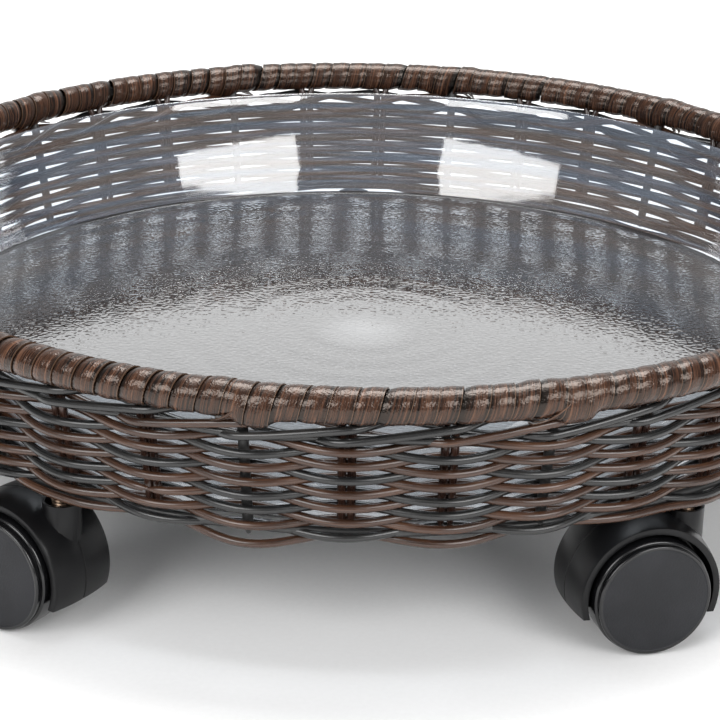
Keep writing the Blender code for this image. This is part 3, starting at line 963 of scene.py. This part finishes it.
THREAD_DEPTH = 0.00032


def evaluated(piece):
    """A mesh with the piece's modifiers applied."""
    bpy.context.view_layer.update()
    mesh = bpy.data.meshes.new_from_object(piece.evaluated_get(bpy.context.evaluated_depsgraph_get()))
    mesh.transform(piece.matrix_world)
    return mesh


def box_mesh(name, size):
    """A cube round the origin."""
    cube = bmesh.new()
    bmesh.ops.create_cube(cube, size=size)
    mesh = bpy.data.meshes.new(name)
    cube.to_mesh(mesh)
    cube.free()
    return mesh


def on_axle():
    """From a lathe's own Z to the axle, in a caster whose wheels trail along -X."""
    return Matrix.Translation((-TRAIL, 0, AXLE_HEIGHT)) @ Matrix.Rotation(-math.pi / 2, 4, "X")


def carve(name, mesh, tools):
    """Unites or cuts a mesh with others, then rounds its edges. tools holds (operation, mesh)."""
    piece = add_object(name, mesh)
    helpers = []
    for operation, tool in tools:
        helper = add_object("tool", tool)
        modifier = piece.modifiers.new(operation, "BOOLEAN")
        modifier.operation = operation
        modifier.object = helper
        helpers.append(helper)
    bevel = piece.modifiers.new("Edges", "BEVEL")
    bevel.width = EDGE_ROUNDING
    bevel.segments = 2
    bevel.limit_method = "ANGLE"
    bevel.angle_limit = math.radians(63)
    made = evaluated(piece)
    for thing in helpers + [piece]:
        bpy.data.objects.remove(thing)
    return made


def hood_mesh():
    """The hood: a crowned drum round the axle with a stem boss, hollowed for the two wheels."""
    half, seam = HOOD_HALF_WIDTH, SEAM_HALF_WIDTH
    widths = [*np.linspace(half, seam, 12), 0, *np.linspace(-seam, -half, 12)]
    crown = [(0.0, half)]
    for width in widths:
        radius = HOOD_RADIUS - (HOOD_RADIUS - HOOD_LIP_RADIUS) * (abs(width) / half) ** CROWN_POWER
        crown.append((radius - (SEAM_DEPTH if width == 0 else 0), width))
    crown.append((0.0, -half))
    drum = lathe("hood", crown[::-1], HOOD_SEGMENTS)
    drum.transform(on_axle())

    # the lower edge slopes down towards the stem
    under = box_mesh("under", 2 * TOOL_REACH)
    level = Vector((-TRAIL, 0, HOOD_LOW.z + 0.0003))
    tilt = Matrix.Rotation(HOOD_EDGE_SLOPE, 4, "Y")
    under.transform(Matrix.Translation(level) @ tilt @ Matrix.Translation((0, 0, -TOOL_REACH)))

    top = HOOD_HIGH.z
    boss = lathe("boss", [
        (0.0, BOSS_START), (BOSS_RADIUS - 0.0002, BOSS_START), (BOSS_RADIUS, top), (0.0, top),
    ], BOSS_SEGMENTS)
    boss.transform(Matrix.Rotation(math.pi / (2 * BOSS_SEGMENTS), 4, "Z"))
    tools = [("DIFFERENCE", under), ("UNION", boss)]

    # each tool is turned a little, so that its edges do not meet the drum's
    half_segment = Matrix.Rotation(math.pi / HOOD_SEGMENTS, 4, "Z")
    fillet = HOOD_WELL_FILLET
    for side in (1, -1):
        near, far = side * HOOD_WEB_HALF_WIDTH, side * TOOL_REACH
        profile = [(0.0, near)]
        profile += [(HOOD_WELL_RADIUS - fillet, near), (HOOD_WELL_RADIUS, near + side * fillet)]
        profile += [(HOOD_WELL_RADIUS, far), (0.0, far)]
        well = lathe("well", profile, HOOD_SEGMENTS)
        well.transform(on_axle() @ half_segment)
        tools.append(("DIFFERENCE", well))
    cup = lathe("cup", [
        (0.0, STEM_LOW.z), (STEM_RADIUS + STEM_GAP, STEM_LOW.z),
        (STEM_RADIUS + STEM_GAP, top - BOSS_CUP_DEPTH), (BOSS_RADIUS - BOSS_CUP_WALL, top - 0.0008),
        (BOSS_RADIUS - BOSS_CUP_WALL + 0.0001, top + 0.002), (0.0, top + 0.002),
    ], BOSS_SEGMENTS)
    tools.append(("DIFFERENCE", cup))
    return carve("hood", drum, tools)


def wheel_mesh():
    """A wheel with a round-shouldered tread and a shallow ring groove in its outer face."""
    inner, outer, radius = WHEEL_INNER_FACE, WHEEL_OUTER_FACE, WHEEL_RADIUS
    bore, back, front = WHEEL_BORE_RADIUS, WHEEL_BACK_SHOULDER, WHEEL_SHOULDER
    profile = [(bore, inner), (radius - back, inner)]
    profile += arc((radius - back, inner + back), back, -75, 0, 5)
    profile += arc((radius - front, outer - front), front, 0, 90, 5)
    profile += [(CAP_RADIUS - 0.0002, outer), (CAP_RADIUS - 0.0004, outer - WHEEL_GROOVE)]
    profile += [(bore, outer - WHEEL_GROOVE)]
    return lathe("wheel", profile, WHEEL_SEGMENTS)


def cap_mesh():
    """The disc that covers a wheel: a raised edge ring round a slightly sunk, pebbled face."""
    back, face, radius = WHEEL_OUTER_FACE + 0.0002, CAP_FACE, CAP_RADIUS
    profile = [(0.0, back), (radius - 0.0002, back)]
    profile += arc((radius - CAP_EDGE, face - CAP_EDGE), CAP_EDGE, 0, 80, 5)
    profile += [(radius - CAP_EDGE_END, face - 0.0001), (radius - 0.0015, face - 0.0003)]
    profile += [(radius - 0.0019, face - 0.0002), (radius * 0.5, face), (0.0, face)]
    return lathe("cap", profile, WHEEL_SEGMENTS)


def stem_mesh():
    """A plated stem with fine threads."""
    low, high = STEM_LOW.z + 0.0003, STEM_HIGH.z
    heights = np.arange(low, high, THREAD_PITCH / 4)
    profile = [(0.0001, low)]
    for i, height in enumerate(heights):
        depth = THREAD_DEPTH * (0.5 - 0.5 * math.cos(math.pi * i / 2))
        profile.append((STEM_RADIUS - depth, height))
    profile.append((0.0001, heights[-1]))
    return lathe("stem", profile, 32)


def make_casters():
    """Every caster's pieces, from one set of meshes."""
    hood, wheel, cap, stem = hood_mesh(), wheel_mesh(), cap_mesh(), stem_mesh()
    edge_start = CAP_RADIUS - CAP_EDGE_END
    on_edge = [math.hypot(face.center.x, face.center.y) > edge_start for face in cap.polygons]
    for caster in CASTERS:
        swivel, heading, trail, axle_height = caster_place(caster)
        place = Matrix.Translation(swivel) @ Matrix.Rotation(heading, 4, "Z")

        def put(name, source, transform, material, body, node, angle=35):
            """A copy of a mesh as a piece of this caster."""
            mesh = source.copy()
            mesh.name = name
            mesh.transform(transform)
            return finish(name, mesh, material, body, [node], angle)

        put(f"{caster}_moulded_hood", hood, place, HOOD,
            f"{caster}_swivel_body", f"{caster}_hood")
        put(f"{caster}_threaded_stem", stem, place, PLATED_STEEL, "frame", f"{caster}_stem")
        for side, turn in (("left", -1), ("right", 1)):
            axle = Matrix.Translation((-trail, 0, axle_height)) @ Matrix.Rotation(turn * math.pi / 2, 4, "X")
            body = f"{caster}_wheel_{side}_body"
            put(f"{caster}_tyre_{side}", wheel, place @ axle, TREAD, body,
                f"{caster}_wheel_{side}")
            disc = put(f"{caster}_disc_{side}", cap, place @ axle, WHEEL, body,
                       f"{caster}_cap_{side}")
            disc.data.materials.append(TREAD)
            for face, outer in zip(disc.data.polygons, on_edge):
                face.material_index = int(outer)


# ------------ carried-over parts


def paint_frame_parts():
    """Materials of the parts that are shown as they are in the frame."""
    for name, part in frame["nodes"].items():
        if part.hide_render:
            continue
        part.data.materials.clear()
        part.data.materials.append(PLATED_STEEL if name.endswith("_axle") else PAINTED_STEEL)


# ------------ stage, camera and lights

CAMERA_PLACE = Vector((0, -0.9287, 0.4110))
CAMERA_AIM = Vector((-0.0013, 0, 0.0409))
CAMERA_ROLL = math.radians(1.15)
LENS, SENSOR_WIDTH = 125.7, 36  # millimetres
GROUND_SIZE = 12
GROUND_MIDDLE = (0, 2, 0)
LIGHT_AIM = Vector((0, 0, 0.07))
ROOM_FRONT, ROOM_BACK = 0.26, 1.03  # how bright the room is on the camera's side and behind
ROOM_FRONT_END, ROOM_BACK_START = 0.1, 0.9  # Y of the direction into the room
SOFTBOXES = [
    # name, azimuth, elevation, distance, width, height, power
    ("softbox_right", 36.5, 28.5, 2.5, 1.46, 1.15, 38),
    ("softbox_left", -37.5, 28.5, 2.5, 1.46, 1.15, 37),
    ("softbox_top", 170, 75, 2.2, 1.6, 1.3, 62),
    ("softbox_front", -10, 76, 2.2, 1.8, 0.45, 6),
]


def make_camera():
    """The photograph's view: a long lens, a little above the rim."""
    camera = bpy.data.objects.new("camera", bpy.data.cameras.new("camera"))
    bpy.context.scene.collection.objects.link(camera)
    camera.data.lens = LENS
    camera.data.sensor_width = SENSOR_WIDTH
    camera.data.clip_start = 0.01
    look = (CAMERA_AIM - CAMERA_PLACE).to_track_quat("-Z", "Y").to_matrix().to_4x4()
    camera.matrix_world = Matrix.Translation(CAMERA_PLACE) @ look @ Matrix.Rotation(CAMERA_ROLL, 4, "Z")
    bpy.context.scene.camera = camera


def make_softbox(name, azimuth, elevation, distance, width, height, power):
    """A soft rectangular light that faces the caddy, placed by degrees round from the front."""
    light = bpy.data.lights.new(name, "AREA")
    light.shape = "RECTANGLE"
    light.size, light.size_y = width, height
    light.energy = power
    lamp = bpy.data.objects.new(name, light)
    bpy.context.scene.collection.objects.link(lamp)
    turn, tilt = math.radians(azimuth), math.radians(elevation)
    way = Vector((math.sin(turn) * math.cos(tilt), -math.cos(turn) * math.cos(tilt), math.sin(tilt)))
    look = (-way).to_track_quat("-Z", "Y").to_matrix().to_4x4()
    place = Matrix.Translation(LIGHT_AIM + distance * way)
    lamp.matrix_world = place @ look


def make_world():
    """A room that is white behind the caddy and darker on the camera's side."""
    world = bpy.data.worlds.new("studio")
    bpy.context.scene.world = world
    world.use_nodes = True
    tree = world.node_tree
    way = tree.nodes.new("ShaderNodeTexCoord")
    split = tree.nodes.new("ShaderNodeSeparateXYZ")
    span = tree.nodes.new("ShaderNodeMapRange")
    span.interpolation_type = "SMOOTHSTEP"
    span.inputs["From Min"].default_value = ROOM_FRONT_END
    span.inputs["From Max"].default_value = ROOM_BACK_START
    span.inputs["To Min"].default_value = ROOM_FRONT
    span.inputs["To Max"].default_value = ROOM_BACK
    tree.links.new(way.outputs["Generated"], split.inputs[0])
    tree.links.new(split.outputs["Y"], span.inputs["Value"])
    tree.links.new(span.outputs[0], tree.nodes["Background"].inputs["Strength"])
    tree.nodes["Background"].inputs["Color"].default_value = (1, 1, 1, 1)


def make_stage():
    """The white card that the caddy stands on, the room and the lights."""
    bpy.ops.mesh.primitive_plane_add(size=GROUND_SIZE, location=GROUND_MIDDLE)
    ground = bpy.context.object
    ground.name = "ground"
    ground.data.materials.append(floor_material())
    make_world()
    for softbox in SOFTBOXES:
        make_softbox(*softbox)
    bpy.context.scene.view_settings.view_transform = "Standard"


make_rows()
make_filler()
make_wale()
make_pairs()
make_wires()
make_rim()
make_saucer()
make_casters()
paint_frame_parts()
make_camera()
make_stage()
